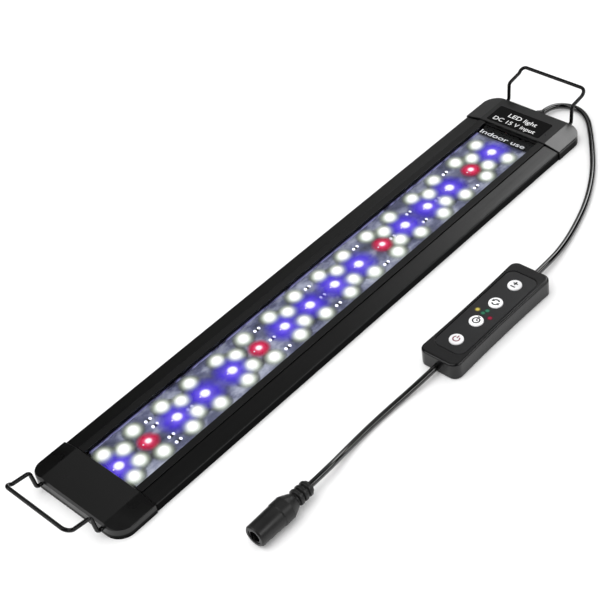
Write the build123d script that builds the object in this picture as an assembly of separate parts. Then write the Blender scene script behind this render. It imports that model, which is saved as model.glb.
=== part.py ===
from build123d import *
import math
import os

# LED aquarium light: a flat black bar with an LED strip under a clear lens, two end caps, a wire
# bracket that slides out of each cap to rest on the tank's rims, and a lead with an inline
# four-button controller and a low-voltage DC jack.
#
# Frame: millimetres. X runs along the bar, the lead leaves at +X. Z is up, the LEDs face +Z, and
# the back of the bar lies on z = 0. The origin is under the middle of the bar.

os.makedirs("parts", exist_ok=True)

# Bar
BAR_LENGTH = 350.0           # over both end caps
CAP_LENGTH = 23.0
CAP_WIDTH = 64.0
CAP_HEIGHT = 7.5
CAP_WALL_HEIGHT = 5.4        # upright part of a cap's side wall
CAP_CORNER = 9.0
CAP_END_BEVEL = (0.8, 1.6)   # along the top, and down the end
EDGE_ROUND = 0.6             # long edges of the caps and the housing
GASKET = 0.5
HOUSING_WIDTH = 62.8
HOUSING_WALL_HEIGHT = 4.8
LIP_TOP = 6.9                # flat lip on both sides of the lens
LIP_OUTER = 22.1             # half widths, from the middle of the bar
LIP_INNER = 17.9
STEP_WIDTH = 0.5
STEP_FLOOR = 6.1
SLOPE_TOP = 6.3

# Lens, board and LEDs
LENS_SLOT = 19.4             # half width of the slot that the lens slides into
LENS_SLOT_FLOOR = 4.6
LENS_SLOT_ROOF = 5.7
LENS_THICKNESS = 1.0
CAVITY_HALF = 18.6
CAVITY_FLOOR = 1.9
PAD_THICKNESS = 0.2
BOARD_THICKNESS = 1.0
BOARD_HALF_WIDTH = 17.8
BOARD_HALF_LENGTH = 149.0
LED_COLUMNS = 16
LED_PITCH = 18.65
LED_CENTRE = -6.3            # middle of the LED columns
LED_ROW = 10.7               # outer rows, from the middle row
PAIR_ROW = 5.6               # rows of the in-between pairs
PAIR_SHIFT = 8.1             # from an odd column to its pair
LED_SIZE = (3.5, 2.8, 0.8)
RED_COLUMNS = (2, 6, 11, 15)
MASK_LENGTH = 7.6            # black printed end of the lens, at the lead's end

# Wire brackets
WIRE = 2.0
LEG_Y = 21.4
LEG_Z = 4.6
LEG_START = 86.0             # inner end of a leg, from the middle of the bar
LEG_STOP = 2.36              # collar on a leg's inner end, wider than the bore in the cap
CHANNEL = 2.5
WIRE_BORE = 2.12

# Lead
CORD = 3.3
CORD_FLOOR = CORD / 2        # height of a cord's middle where it lies on the surface
GLAND_Y = -1.2
GLAND_Z = 3.5
GLAND_END = 178.4

# Controller
CONTROL_X = 25.7
CONTROL_Y = -78.9
CONTROL_LENGTH = 76.0
CONTROL_WIDTH = 23.2
CONTROL_HEIGHT = 9.6
CONTROL_CORNER = 4.2
CONTROL_WAIST = 0.7          # how far each long side is drawn in at its middle
SEAM = 4.2
WALL = 1.5
FLOOR = 1.4
CEILING = 8.3
CONTROL_BOARD = (70.4, 18.4)
CONTROL_BOARD_FLOOR = 2.6
CONTROL_BOARD_TOP = 3.6
OVERLAY = (62.0, 17.4)
OVERLAY_SHIFT = 0.6
OVERLAY_FLOOR = 9.15
OVERLAY_TOP = 9.42
GROOVE = 0.45
BUTTON_PITCH = 15.3
BUTTON = 7.2
BUTTON_TOP = 10.2
BUTTON_HOLE = 7.4
BUTTONS = ("power", "timer", "mode", "brightness")
INDICATORS = ((-0.6, 4.6), (-1.2, 0.9), (1.2, 0.1), (-2.2, -4.0))
SCREW_X = 31.6

# DC jack
JACK_MOUTH = -138.7
JACK_LENGTH = 35.0
JACK_Y = -80.4
JACK_RADIUS = 5.95

TINY = 0.001
OVER = 1.0                   # how far a cutting tool runs past what it cuts

BAR_HALF = BAR_LENGTH / 2
CAP_START = BAR_HALF - CAP_LENGTH
HOUSING_HALF = CAP_START - GASKET
BOARD_FLOOR = CAVITY_FLOOR + PAD_THICKNESS
BOARD_TOP = BOARD_FLOOR + BOARD_THICKNESS


def save(node, shape):
    export_step(shape, f"parts/{node}.step")


def bar_of(points, start, length, rounds=()):
    """Extrudes a closed YZ outline along +X, from x = start. rounds gives (corner, radius) pairs, each
    for the outline's corner at that (y, z) and its mirror image."""
    face = Polygon(*points, align=None)
    for (y, z), radius in rounds:
        picked = [corner for corner in face.vertices()
                  if math.dist((abs(corner.X), corner.Y), (y, z)) < TINY]
        face = fillet(picked, radius)
    return extrude(Plane.YZ.offset(start) * face, length)


def mirrored(points):
    """Closes an outline given for y > 0, from its bottom to its top, with its mirror image."""
    return points + [(-y, z) for y, z in reversed(points)]


def rod(radius, start, end):
    """Round bar between two points that lie on one axis-parallel line."""
    direction = Vector(end) - Vector(start)
    return extrude(Plane(origin=start, z_dir=direction) * Circle(radius), direction.length)


def block(lows, highs):
    size = [high - low for low, high in zip(lows, highs)]
    middle = [(high + low) / 2 for low, high in zip(lows, highs)]
    return Pos(*middle) * Box(*size)


def slab(length, width, corner, bottom, top):
    """Upright block with rounded corners, centred on the Z axis."""
    return Pos(0, 0, bottom) * extrude(RectangleRounded(length, width, corner), top - bottom)


# ---------------------------------------------------------------- housing and what slides into it
HOUSING_HALF_WIDTH = HOUSING_WIDTH / 2
FOOT_BEVEL = 0.2
LIP_ROUND = 0.2
BACK_GROOVES = 12
BACK_GROOVE = 2.0                    # width
BACK_GROOVE_PITCH = 4.0
BACK_GROOVE_DEPTH = 0.6
HOLLOW = (25.2, 30.0, 1.3, 3.6)      # y and z limits of the side hollows that take the cap prongs
CAP_SCREW_X = 146.0
CAP_SCREW_Y = 27.6
CAP_SCREW_HOLE = 1.1                 # radii in the housing's back
CAP_SCREW_SINK = 1.95
CAP_SCREW_SINK_DEPTH = 1.0


def housing():
    outline = mirrored([
        (HOUSING_HALF_WIDTH - FOOT_BEVEL, 0), (HOUSING_HALF_WIDTH, FOOT_BEVEL),
        (HOUSING_HALF_WIDTH, HOUSING_WALL_HEIGHT), (LIP_OUTER + STEP_WIDTH, SLOPE_TOP),
        (LIP_OUTER + STEP_WIDTH, STEP_FLOOR), (LIP_OUTER, STEP_FLOOR), (LIP_OUTER, LIP_TOP),
        (LIP_INNER, LIP_TOP), (LIP_INNER, LENS_SLOT_ROOF), (LENS_SLOT, LENS_SLOT_ROOF),
        (LENS_SLOT, LENS_SLOT_FLOOR), (CAVITY_HALF, LENS_SLOT_FLOOR), (CAVITY_HALF, CAVITY_FLOOR)])
    rounds = [((HOUSING_HALF_WIDTH, HOUSING_WALL_HEIGHT), EDGE_ROUND),
              ((LIP_OUTER, LIP_TOP), LIP_ROUND), ((LIP_INNER, LIP_TOP), LIP_ROUND)]
    shape = bar_of(outline, -HOUSING_HALF, 2 * HOUSING_HALF, rounds)
    past_end = HOUSING_HALF + OVER
    for index in range(BACK_GROOVES):
        y = (index - (BACK_GROOVES - 1) / 2) * BACK_GROOVE_PITCH
        shape -= block((-past_end, y - BACK_GROOVE / 2, -OVER),
                       (past_end, y + BACK_GROOVE / 2, BACK_GROOVE_DEPTH))
    for side in (-1, 1):
        y_low, y_high, z_low, z_high = HOLLOW
        ends = sorted((side * y_low, side * y_high))
        shape -= block((-past_end, ends[0], z_low), (past_end, ends[1], z_high))
        leg = (side * LEG_Y, LEG_Z)
        shape -= rod(CHANNEL / 2, (-past_end, *leg), (past_end, *leg))
        for end in (-1, 1):
            hole = (end * CAP_SCREW_X, side * CAP_SCREW_Y)
            shape -= rod(CAP_SCREW_HOLE, (*hole, -OVER), (*hole, z_low + TINY))
            sink = Cone(CAP_SCREW_SINK, CAP_SCREW_HOLE, CAP_SCREW_SINK_DEPTH)
            shape -= Pos(*hole, CAP_SCREW_SINK_DEPTH / 2) * sink
    return shape


LENS_HALF = HOUSING_HALF - 0.4
LENS_HALF_WIDTH = LENS_SLOT - 0.1
LENS_BOTTOM = LENS_SLOT_FLOOR + 0.05
MASK_THICKNESS = 0.1


def lens():
    return block((-LENS_HALF, -LENS_HALF_WIDTH, LENS_BOTTOM),
                 (LENS_HALF, LENS_HALF_WIDTH, LENS_BOTTOM + LENS_THICKNESS))


def lens_mask():
    return block((LENS_HALF - MASK_LENGTH, -LIP_INNER, LENS_BOTTOM - MASK_THICKNESS),
                 (LENS_HALF, LIP_INNER, LENS_BOTTOM))


def led_board():
    corner = 1.0
    shape = block((-BOARD_HALF_LENGTH, -BOARD_HALF_WIDTH, BOARD_FLOOR),
                  (BOARD_HALF_LENGTH, BOARD_HALF_WIDTH, BOARD_TOP))
    return fillet(shape.edges().filter_by(Axis.Z), corner)


def thermal_pad():
    inset = 1.5
    return block((-BOARD_HALF_LENGTH + inset, -BOARD_HALF_WIDTH + inset, CAVITY_FLOOR),
                 (BOARD_HALF_LENGTH - inset, BOARD_HALF_WIDTH - inset, BOARD_FLOOR))


def column_x(column):
    """Place of an LED column, counted from 1 at the end without the lead."""
    return LED_CENTRE + (column - (LED_COLUMNS + 1) / 2) * LED_PITCH


def led_package():
    bevel, well, well_depth = 0.15, 1.05, 0.15
    top = BOARD_TOP + LED_SIZE[2]
    shape = Pos(0, 0, BOARD_TOP + LED_SIZE[2] / 2) * Box(*LED_SIZE)
    shape = chamfer(shape.faces().sort_by(Axis.Z)[-1].edges(), bevel)
    return shape - rod(well, (0, 0, top - well_depth), (0, 0, top + OVER))


def group(shape, places):
    return Compound(children=[Pos(x, y, 0) * shape for x, y in places])


def white_places():
    columns = range(1, LED_COLUMNS + 1)
    rows = [(column_x(column), side * LED_ROW) for side in (1, -1) for column in columns]
    pairs = [(column_x(column) + PAIR_SHIFT, side * PAIR_ROW)
             for column in range(1, LED_COLUMNS, 2) for side in (1, -1)]
    return rows + pairs


def middle_places(red):
    columns = range(1, LED_COLUMNS + 1)
    return [(column_x(column), 0) for column in columns if (column in RED_COLUMNS) == red]


def resistor_places():
    """Gaps after the named columns, with the rows that carry a resistor there."""
    outer = (LED_ROW, -LED_ROW)
    inner = (PAIR_ROW, -PAIR_ROW)
    gaps = {2: outer + inner, 6: outer + (0,), 8: outer + (0,), 10: outer, 12: inner, 14: outer}
    places = [(column_x(column) + LED_PITCH / 2, y) for column, rows in gaps.items() for y in rows]
    return places + [(column_x(column) + PAIR_SHIFT, 0) for column in (3, 11, 13)]


def resistor():
    length, width, height, end_metal, step = 3.2, 1.5, 0.55, 0.6, 0.05
    top = BOARD_TOP + height
    half = length / 2 - end_metal
    body = block((-length / 2, -width / 2, BOARD_TOP), (length / 2, width / 2, top))
    return body - block((-half, -width, top - step), (half, width, top + OVER))


save("housing", housing())
save("lens", lens())
save("lens_end_mask", lens_mask())
save("led_board", led_board())
save("thermal_pad", thermal_pad())
save("leds_white", group(led_package(), white_places()))
save("leds_blue", group(led_package(), middle_places(red=False)))
save("leds_red", group(led_package(), middle_places(red=True)))
save("board_resistors", group(resistor(), resistor_places()))


# ---------------------------------------------------------------- end caps, gaskets and cap screws
CAP_CAVITY = (CAP_START - 1, 172.6, 19.0, 1.4, 5.5)      # x start, x end, half width, z limits
CAP_FLAT = 22.0                                          # half width of the flat top
CAP_FOOT_BEVEL = 0.2
CAP_RIM_BEVEL = 0.25                                     # on the rim that faces the housing
PRONG = 12.0
PRONG_HOLE = 0.9
BUSHING = (153.0, 158.5, 1.95)                           # x limits and radius
BUSHING_PRESS = 0.02
LABEL = (153.8, 167.8, -16.5, 19.0, 0.12)                # x and y limits, thickness
LABEL_CORNER = 1.0


def end_cap():
    plan = Pos(CAP_START + CAP_LENGTH / 2, 0) * Rectangle(CAP_LENGTH, CAP_WIDTH)
    plan = fillet(plan.vertices().group_by(Axis.X)[-1], CAP_CORNER)
    shape = extrude(plan, CAP_HEIGHT)
    top = shape.faces().sort_by(Axis.Z)[-1]
    rim = [edge for edge in top.edges() if edge.center().X > CAP_START + OVER]
    shape = chamfer(rim, *CAP_END_BEVEL, reference=top)
    half = CAP_WIDTH / 2
    outline = mirrored([(half - CAP_FOOT_BEVEL, 0), (half, CAP_FOOT_BEVEL),
                        (half, CAP_WALL_HEIGHT), (CAP_FLAT, CAP_HEIGHT)])
    rounds = [((half, CAP_WALL_HEIGHT), EDGE_ROUND), ((CAP_FLAT, CAP_HEIGHT), EDGE_ROUND)]
    shape &= bar_of(outline, CAP_START, CAP_LENGTH, rounds)
    inner = shape.faces().sort_by(Axis.X)[0]
    shape = chamfer([edge for edge in inner.edges() if edge.center().Z > OVER], CAP_RIM_BEVEL)
    x_low, x_high, y_half, z_low, z_high = CAP_CAVITY
    shape -= block((x_low, -y_half, z_low), (x_high, y_half, z_high))
    for side in (-1, 1):
        y = side * LEG_Y
        before = CAP_START - OVER
        shape -= rod(WIRE_BORE / 2, (before, y, LEG_Z), (BAR_HALF + OVER, y, LEG_Z))
        shape -= rod(BUSHING[2] + BUSHING_PRESS, (before, y, LEG_Z), (BUSHING[1], y, LEG_Z))
        shape += prong(side)
    return shape


def prong(side):
    """Tongue that plugs into a side hollow of the housing and takes a cap screw from below."""
    y_play, z_play = 0.1, 0.05
    y_low, y_high, z_low, z_high = HOLLOW
    ends = sorted((side * (y_low + y_play), side * (y_high - y_play)))
    tongue = block((CAP_START - PRONG, ends[0], z_low + z_play), (CAP_START, ends[1], z_high - z_play))
    screw = (CAP_SCREW_X, side * CAP_SCREW_Y)
    return tongue - rod(PRONG_HOLE, (*screw, 0), (*screw, z_high))


def gasket():
    half, low, shoulder, top_half, top = HOUSING_HALF_WIDTH - 0.8, 0.9, 3.7, 21.6, 5.7
    window = (17.4, 1.4, 5.0)                            # half width and z limits
    play = 0.1
    before, after = HOUSING_HALF - OVER, CAP_START + OVER
    shape = bar_of(mirrored([(half, low), (half, shoulder), (top_half, top)]), HOUSING_HALF, GASKET)
    shape -= block((before, -window[0], window[1]), (after, window[0], window[2]))
    for side in (-1, 1):
        y_low, y_high, z_low, z_high = HOLLOW
        ends = sorted((side * (y_low - play), side * (y_high + play)))
        shape -= block((before, ends[0], z_low - play), (after, ends[1], z_high + play))
        y = side * LEG_Y
        shape -= rod(CHANNEL / 2, (before, y, LEG_Z), (after, y, LEG_Z))
    return shape


def leg_bushings(end):
    """Soft sleeves that grip a bracket's two legs, in the cap at end -1 or 1 of the bar."""
    x_low, x_high, radius = BUSHING
    play = 0.04
    sleeve = rod(radius, (x_low, 0, LEG_Z), (x_high, 0, LEG_Z))
    sleeve -= rod(WIRE / 2 + play, (x_low - OVER, 0, LEG_Z), (x_high + OVER, 0, LEG_Z))
    if end < 0:
        sleeve = sleeve.mirror(Plane.YZ)
    return group(sleeve, [(0, -LEG_Y), (0, LEG_Y)])


def cap_screw():
    """Countersunk screw that points up into a cap's prong."""
    bottom, head, head_height, shank, tip = 0.1, 1.75, 0.9, 0.88, 3.2
    cross_length, cross_width, cross_depth = 2.0, 0.45, 0.3
    neck = bottom + head_height
    shape = Pos(0, 0, (bottom + neck) / 2) * Cone(head, shank, head_height)
    shape += rod(shank, (0, 0, neck), (0, 0, tip))
    slot = Box(cross_length, cross_width, 2 * cross_depth) + Box(cross_width, cross_length, 2 * cross_depth)
    return shape - Pos(0, 0, bottom) * slot


def cord_gland():
    """Strain relief of the lead: a flange inside the cap, a neck in its wall, a tapered nub outside."""
    wall = CAP_CAVITY[1]
    flange, neck, collar, shoulder, tip = 2.0, 1.95, 3.2, 2.7, 2.15
    flange_length, collar_length, floor, bore = 1.2, 1.2, 0.8, 1.25
    outline = [(wall - flange_length, 0), (wall - flange_length, flange), (wall, flange), (wall, neck),
               (BAR_HALF, neck), (BAR_HALF, collar), (BAR_HALF + collar_length, collar),
               (BAR_HALF + 1.7 * collar_length, shoulder), (GLAND_END, tip), (GLAND_END, 0)]
    shape = revolve(Polygon(*outline, align=None), Axis.X)
    shape -= rod(bore, (wall - 2 * flange_length, 0, 0), (GLAND_END - floor, 0, 0))
    return Pos(0, GLAND_Y, GLAND_Z) * shape


def bent_tube(points, radii, radius):
    path = FilletPolyline(*points, radius=radii)
    section = Plane(origin=path @ 0, z_dir=path % 0) * Circle(radius)
    return sweep(section, path=path), path.length


def lead_wire(side):
    """Thin core from the board's end to the gland, side -1 or 1 of the lead's middle."""
    core, bend = 0.5, 2.5
    y = GLAND_Y + side * (core + 0.1)
    low = BOARD_TOP + core + 0.05
    points = [(BOARD_HALF_LENGTH - 3, y + side * 5, low), (BOARD_HALF_LENGTH + 6, y + side * 5, low),
              (162, y + side * 2.2, GLAND_Z + core), (168, y, GLAND_Z), (GLAND_END - 1, y, GLAND_Z)]
    return bent_tube(points, [bend] * 3, core)[0]


def rating_label():
    x_low, x_high, y_low, y_high, thickness = LABEL
    shape = block((x_low, y_low, CAP_HEIGHT), (x_high, y_high, CAP_HEIGHT + thickness))
    return fillet(shape.edges().filter_by(Axis.Z), LABEL_CORNER)


cap = end_cap()
gland_hole = rod(2.0, (CAP_CAVITY[1] - OVER, GLAND_Y, GLAND_Z), (BAR_HALF + OVER, GLAND_Y, GLAND_Z))
save("cap_far", cap - gland_hole)
save("cap_near", cap.mirror(Plane.YZ))
save("gasket_far", gasket())
save("gasket_near", gasket().mirror(Plane.YZ))
save("bracket_bushings_far", leg_bushings(1))
save("bracket_bushings_near", leg_bushings(-1))
screw_places = [(x, y) for x in (-CAP_SCREW_X, CAP_SCREW_X) for y in (-CAP_SCREW_Y, CAP_SCREW_Y)]
save("cap_screws", group(cap_screw(), screw_places))
save("cord_gland", cord_gland())
save("lead_wire_plus", lead_wire(1))
save("lead_wire_minus", lead_wire(-1))
save("rating_label", rating_label())


# ---------------------------------------------------------------- sliding wire brackets
ARM_LOW = (178.8, 15.5)      # x and z of the top of the riser
ARM_HIGH = (188.4, 16.9)     # where the arm turns up to the cross bar
CROSSBAR = (191.8, 19.5)
RISER_FOOT = 177.8
WIRE_BEND = 2.0
CROSSBAR_BEND = 3.0


def wire_bracket():
    half = [(LEG_START, LEG_Z), (RISER_FOOT, LEG_Z), ARM_LOW, ARM_HIGH, CROSSBAR]
    points = [(x, LEG_Y, z) for x, z in half] + [(x, -LEG_Y, z) for x, z in reversed(half)]
    bends = [WIRE_BEND, WIRE_BEND, WIRE_BEND]
    shape = bent_tube(points, bends + [CROSSBAR_BEND, CROSSBAR_BEND] + bends[::-1], WIRE / 2)[0]
    for side in (-1, 1):
        y = side * LEG_Y
        shape += rod(LEG_STOP / 2, (LEG_START - 0.5, y, LEG_Z), (LEG_START + 1.5, y, LEG_Z))
    return shape


bracket = wire_bracket()
save("bracket_far", bracket)
save("bracket_near", bracket.mirror(Plane.YZ))


# ---------------------------------------------------------------- controller
CORD_END_INSET = 35.5        # inner end of a cord inside the controller, from its middle
CORD_HOLE_PLAY = 0.06
MIDDLE = Pos(CONTROL_X, CONTROL_Y, 0)
TOP_ROUND = 1.2
BOTTOM_BEVEL = 0.6
OVERLAY_CORNER = 4.2
POST = 2.2                   # radii of the screw posts and their holes
POST_HOLE = 0.98
POST_FOOT = 2.7
SCREW_HEAD = 1.75
SCREW_SHANK = 0.93
SCREW_HEAD_ROOM = 1.95
SCREW_SHANK_ROOM = 1.1
SCREW_SEAT = 1.45            # height of the shoulder that a screw's head pulls on
LIGHT_PIPE = 0.65
LIGHT_PIPE_HOLE = 0.72
LIGHT_PIPE_BOTTOM = 4.5
NUB_BOTTOM = 6.2             # heights on a button, and of its plunger's top
FLANGE_BOTTOM = 7.2
FLANGE_TOP = 8.1


def button_x(index):
    return (index - (len(BUTTONS) - 1) / 2) * BUTTON_PITCH


def shell_slab(inset, bottom, top):
    """Upright block with the controller's outline, its long sides drawn in at their middle."""
    half_length = CONTROL_LENGTH / 2 - inset
    half_width = CONTROL_WIDTH / 2 - inset
    corners = [(-half_length, -half_width), (half_length, -half_width),
               (half_length, half_width), (-half_length, half_width)]
    sides = [ThreePointArc(corners[0], (0, CONTROL_WAIST - half_width), corners[1]),
             Line(corners[1], corners[2]),
             ThreePointArc(corners[2], (0, half_width - CONTROL_WAIST), corners[3]),
             Line(corners[3], corners[0])]
    face = make_face(sides)
    face = fillet(face.vertices(), CONTROL_CORNER - inset)
    return Pos(0, 0, bottom) * extrude(face, top - bottom)


def cord_holes():
    half = CONTROL_LENGTH / 2 + OVER
    return rod(CORD / 2 + CORD_HOLE_PLAY, (-half, 0, SEAM), (half, 0, SEAM))


def top_openings(floor):
    """Holes for the buttons and the light pipes, from the height floor up."""
    cuts = [rod(BUTTON_HOLE / 2, (button_x(index), 0, floor), (button_x(index), 0, CONTROL_HEIGHT + OVER))
            for index in range(len(BUTTONS))]
    cuts += [rod(LIGHT_PIPE_HOLE, (x, y, floor), (x, y, CONTROL_HEIGHT + OVER)) for x, y in INDICATORS]
    return cuts


def controller_top():
    shape = shell_slab(0, SEAM, CONTROL_HEIGHT)
    shape = fillet(shape.faces().sort_by(Axis.Z)[-1].edges(), TOP_ROUND)
    shape -= shell_slab(WALL, SEAM - OVER, CEILING)
    length, width = (size + 2 * GROOVE for size in OVERLAY)
    recess = slab(length, width, OVERLAY_CORNER + GROOVE, OVERLAY_FLOOR, CONTROL_HEIGHT + OVER)
    shape -= Pos(OVERLAY_SHIFT, 0, 0) * recess
    shape -= top_openings(CEILING - OVER)
    low = CONTROL_BOARD_TOP + 0.05
    for x in (-SCREW_X, SCREW_X):
        shape += rod(POST, (x, 0, low), (x, 0, CEILING)) - rod(POST_HOLE, (x, 0, low), (x, 0, low + 3.7))
    return shape - cord_holes()


def controller_bottom():
    shape = shell_slab(0, 0, SEAM)
    shape = chamfer(shape.faces().sort_by(Axis.Z)[0].edges(), BOTTOM_BEVEL)
    shape -= shell_slab(WALL, FLOOR, SEAM + OVER)
    high = CONTROL_BOARD_FLOOR - 0.03
    for x in (-SCREW_X, SCREW_X):
        shape += rod(POST_FOOT, (x, 0, FLOOR), (x, 0, high))
        shape -= rod(SCREW_HEAD_ROOM, (x, 0, -OVER), (x, 0, SCREW_SEAT))
        shape -= rod(SCREW_SHANK_ROOM, (x, 0, 0), (x, 0, SEAM))
    return shape - cord_holes()


def controller_overlay():
    shape = Pos(OVERLAY_SHIFT, 0, 0) * slab(*OVERLAY, OVERLAY_CORNER, OVERLAY_FLOOR, OVERLAY_TOP)
    return shape - top_openings(OVERLAY_FLOOR - OVER)


def controller_board():
    corner, screw_hole = 2.0, 1.2
    shape = slab(*CONTROL_BOARD, corner, CONTROL_BOARD_FLOOR, CONTROL_BOARD_TOP)
    for x in (-SCREW_X, SCREW_X):
        shape -= rod(screw_hole, (x, 0, 0), (x, 0, SEAM))
    return shape


def on_board(length, width, height):
    """Component that stands on the controller's board."""
    return Pos(0, 0, CONTROL_BOARD_TOP + height / 2) * Box(length, width, height)


def tact_switch():
    size, height, corner, well, well_depth = 4.5, 2.0, 0.5, 1.1, 1.4
    shape = on_board(size, size, height)
    shape = chamfer(shape.edges().filter_by(Axis.Z), corner)
    top = CONTROL_BOARD_TOP + height
    return shape - rod(well, (0, 0, top - well_depth), (0, 0, top + OVER))


def plunger():
    radius, bottom = 1.0, 4.9
    return rod(radius, (0, 0, bottom), (0, 0, NUB_BOTTOM))


def button_cap():
    nub, flange_overhang, edge = 1.5, 0.6, 0.5
    shaft = rod(BUTTON / 2, (0, 0, FLANGE_BOTTOM), (0, 0, BUTTON_TOP))
    shaft = fillet(shaft.faces().sort_by(Axis.Z)[-1].edges(), edge)
    flange = rod(BUTTON / 2 + flange_overhang, (0, 0, FLANGE_BOTTOM), (0, 0, FLANGE_TOP))
    return shaft + flange + rod(nub, (0, 0, NUB_BOTTOM), (0, 0, FLANGE_BOTTOM))


def controller_screw():
    bottom, head_height, tip = 0.3, 1.1, 6.0
    cross_length, cross_width, cross_depth = 2.2, 0.5, 0.4
    neck = bottom + head_height
    head = rod(SCREW_HEAD, (0, 0, bottom), (0, 0, neck))
    cross = Box(cross_length, cross_width, 2 * cross_depth) + Box(cross_width, cross_length, 2 * cross_depth)
    return head - Pos(0, 0, bottom) * cross + rod(SCREW_SHANK, (0, 0, neck), (0, 0, tip))


def light_pipe():
    return rod(LIGHT_PIPE, (0, 0, LIGHT_PIPE_BOTTOM), (0, 0, OVERLAY_TOP))


def cord_grips():
    """Moulded stops that hold the cords' ends inside the shells."""
    inner, half_width, top = 34.6, 2.6, 6.6
    grips = []
    for side in (-1, 1):
        ends = sorted((side * inner, side * CORD_END_INSET))
        grips.append(block((ends[0], -half_width, CONTROL_BOARD_TOP + 0.05), (ends[1], half_width, top)))
    return Compound(children=grips)


switch_places = [(button_x(index), 0) for index in range(len(BUTTONS))]
save("controller_top", MIDDLE * controller_top())
save("controller_bottom", MIDDLE * controller_bottom())
save("controller_overlay", MIDDLE * controller_overlay())
save("controller_board", MIDDLE * controller_board())
save("tact_switches", MIDDLE * group(tact_switch(), switch_places))
save("light_pipes", MIDDLE * group(light_pipe(), INDICATORS))
save("indicator_leds", MIDDLE * group(on_board(1.6, 0.8, 0.7), INDICATORS))
save("controller_chip", MIDDLE * Pos(0, -7, 0) * on_board(5.0, 4.0, 1.5))
save("controller_mosfets", MIDDLE * group(on_board(3.0, 1.6, 1.1), [(14.5, 6.5), (19.0, 6.5)]))
capacitor_places = [(-16, 6.5), (-12, 6.5), (-16, -6.5), (14, -6.5)]
save("controller_capacitors", MIDDLE * group(on_board(2.0, 1.25, 1.2), capacitor_places))
save("controller_screws", MIDDLE * group(controller_screw(), [(-SCREW_X, 0), (SCREW_X, 0)]))
save("cord_grips", MIDDLE * cord_grips())
for button_name, place in zip(BUTTONS, switch_places):
    save(f"button_{button_name}", MIDDLE * Pos(*place, 0) * button_cap())
    save(f"plunger_{button_name}", MIDDLE * Pos(*place, 0) * plunger())


# ---------------------------------------------------------------- DC jack
SOCKET_DEPTH = 11.0
SOCKET_FLOOR_END = 13.4      # inner end of the insulator, from the mouth
SOCKET_HOLE = 3.7            # radii, from the outside in
INSULATOR = 3.66
SOCKET = 2.85
PIN = 2.0
PIN_ROOT = 2.4               # thicker end of the pin, held in the insulator
JACK_NECK = 3.1
NECK_RIBS = 3
NECK_RIB_START = 26.3
NECK_RIB_PITCH = 2.95
NECK_RIB_LENGTH = 2.0


def jack_body():
    outline = [(0, 0), (0, 4.9), (0.7, 5.5), (14.4, 5.7), (15.0, JACK_RADIUS), (20.0, JACK_RADIUS),
               (21.0, 5.6), (24.6, 4.0), (25.4, JACK_NECK), (JACK_LENGTH, JACK_NECK), (JACK_LENGTH, 0)]
    shape = revolve(Polygon(*outline, align=None), Axis.X)
    for index in range(NECK_RIBS):
        start = NECK_RIB_START + index * NECK_RIB_PITCH
        radius = 4.15 - 0.1 * index
        rib = rod(radius, (start, 0, 0), (start + NECK_RIB_LENGTH, 0, 0))
        shape += fillet(rib.edges().filter_by(GeomType.CIRCLE), 0.6)
    return shape - rod(SOCKET_HOLE, (-OVER, 0, 0), (SOCKET_FLOOR_END, 0, 0))


def jack_insulator():
    face_inset, contact_slot = 0.35, ((1.6, -0.75, 2), (10.6, 0.75, 4))
    shape = rod(INSULATOR, (face_inset, 0, 0), (SOCKET_FLOOR_END, 0, 0))
    shape -= rod(SOCKET, (-OVER, 0, 0), (SOCKET_DEPTH, 0, 0))
    shape -= rod(PIN_ROOT / 2, (SOCKET_DEPTH - OVER, 0, 0), (SOCKET_FLOOR_END + OVER, 0, 0))
    return shape - block(*contact_slot)


def jack_pin():
    tip, tip_round = 1.8, 0.6
    shape = rod(PIN / 2, (tip, 0, 0), (SOCKET_DEPTH, 0, 0))
    shape = fillet(shape.faces().sort_by(Axis.X)[0].edges(), tip_round)
    return shape + rod(PIN_ROOT / 2, (SOCKET_DEPTH, 0, 0), (SOCKET_FLOOR_END, 0, 0))


def jack_contact():
    """Bowed leaf that touches a plug's sleeve."""
    width = 1.2
    points = [(1.9, 3.4), (1.9, 3.1), (6.0, 2.75), (10.3, 3.1), (10.3, 3.4), (6.0, 3.05)]
    return extrude(Plane.XZ.offset(-width / 2) * Polygon(*points, align=None), width)


jack_place = Pos(JACK_MOUTH, JACK_Y, JACK_RADIUS)
save("jack_body", jack_place * jack_body())
save("jack_insulator", jack_place * jack_insulator())
save("jack_pin", jack_place * jack_pin())
save("jack_contact", jack_place * jack_contact())


# ---------------------------------------------------------------- cords
CONTROL_FAR = CONTROL_X + CORD_END_INSET
CONTROL_NEAR = CONTROL_X - CORD_END_INSET
CORD_TO_CONTROLLER = [
    (GLAND_END, GLAND_Y, GLAND_Z), (184.8, GLAND_Y, GLAND_Z), (192.4, -5.8, 2.5),
    (195.0, -15.0, CORD_FLOOR), (189.4, -24.6, CORD_FLOOR), (180.2, -32.6, CORD_FLOOR),
    (166.0, -43.8, CORD_FLOOR), (149.5, -55.2, CORD_FLOOR), (128.0, -66.0, CORD_FLOOR),
    (106.0, -73.0, CORD_FLOOR), (89.5, -76.8, 2.3), (74.5, CONTROL_Y, SEAM),
    (CONTROL_FAR, CONTROL_Y, SEAM)]
CORD_TO_JACK = [
    (CONTROL_NEAR, CONTROL_Y, SEAM), (-21.0, CONTROL_Y, SEAM), (-31.5, -77.4, 2.2),
    (-45.5, -76.6, CORD_FLOOR), (-61.0, -76.5, CORD_FLOOR), (-78.0, -77.8, 2.8),
    (-91.0, JACK_Y, JACK_RADIUS), (JACK_MOUTH + JACK_LENGTH, JACK_Y, JACK_RADIUS)]


def bend_radii(points):
    radii = []
    for before, corner, after in zip(points, points[1:], points[2:]):
        run_in = Vector(*corner) - Vector(*before)
        run_out = Vector(*after) - Vector(*corner)
        half_turn = math.radians(run_in.get_angle(run_out)) / 2
        radii.append(0.45 * min(run_in.length, run_out.length) / math.tan(half_turn))
    return radii


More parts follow.
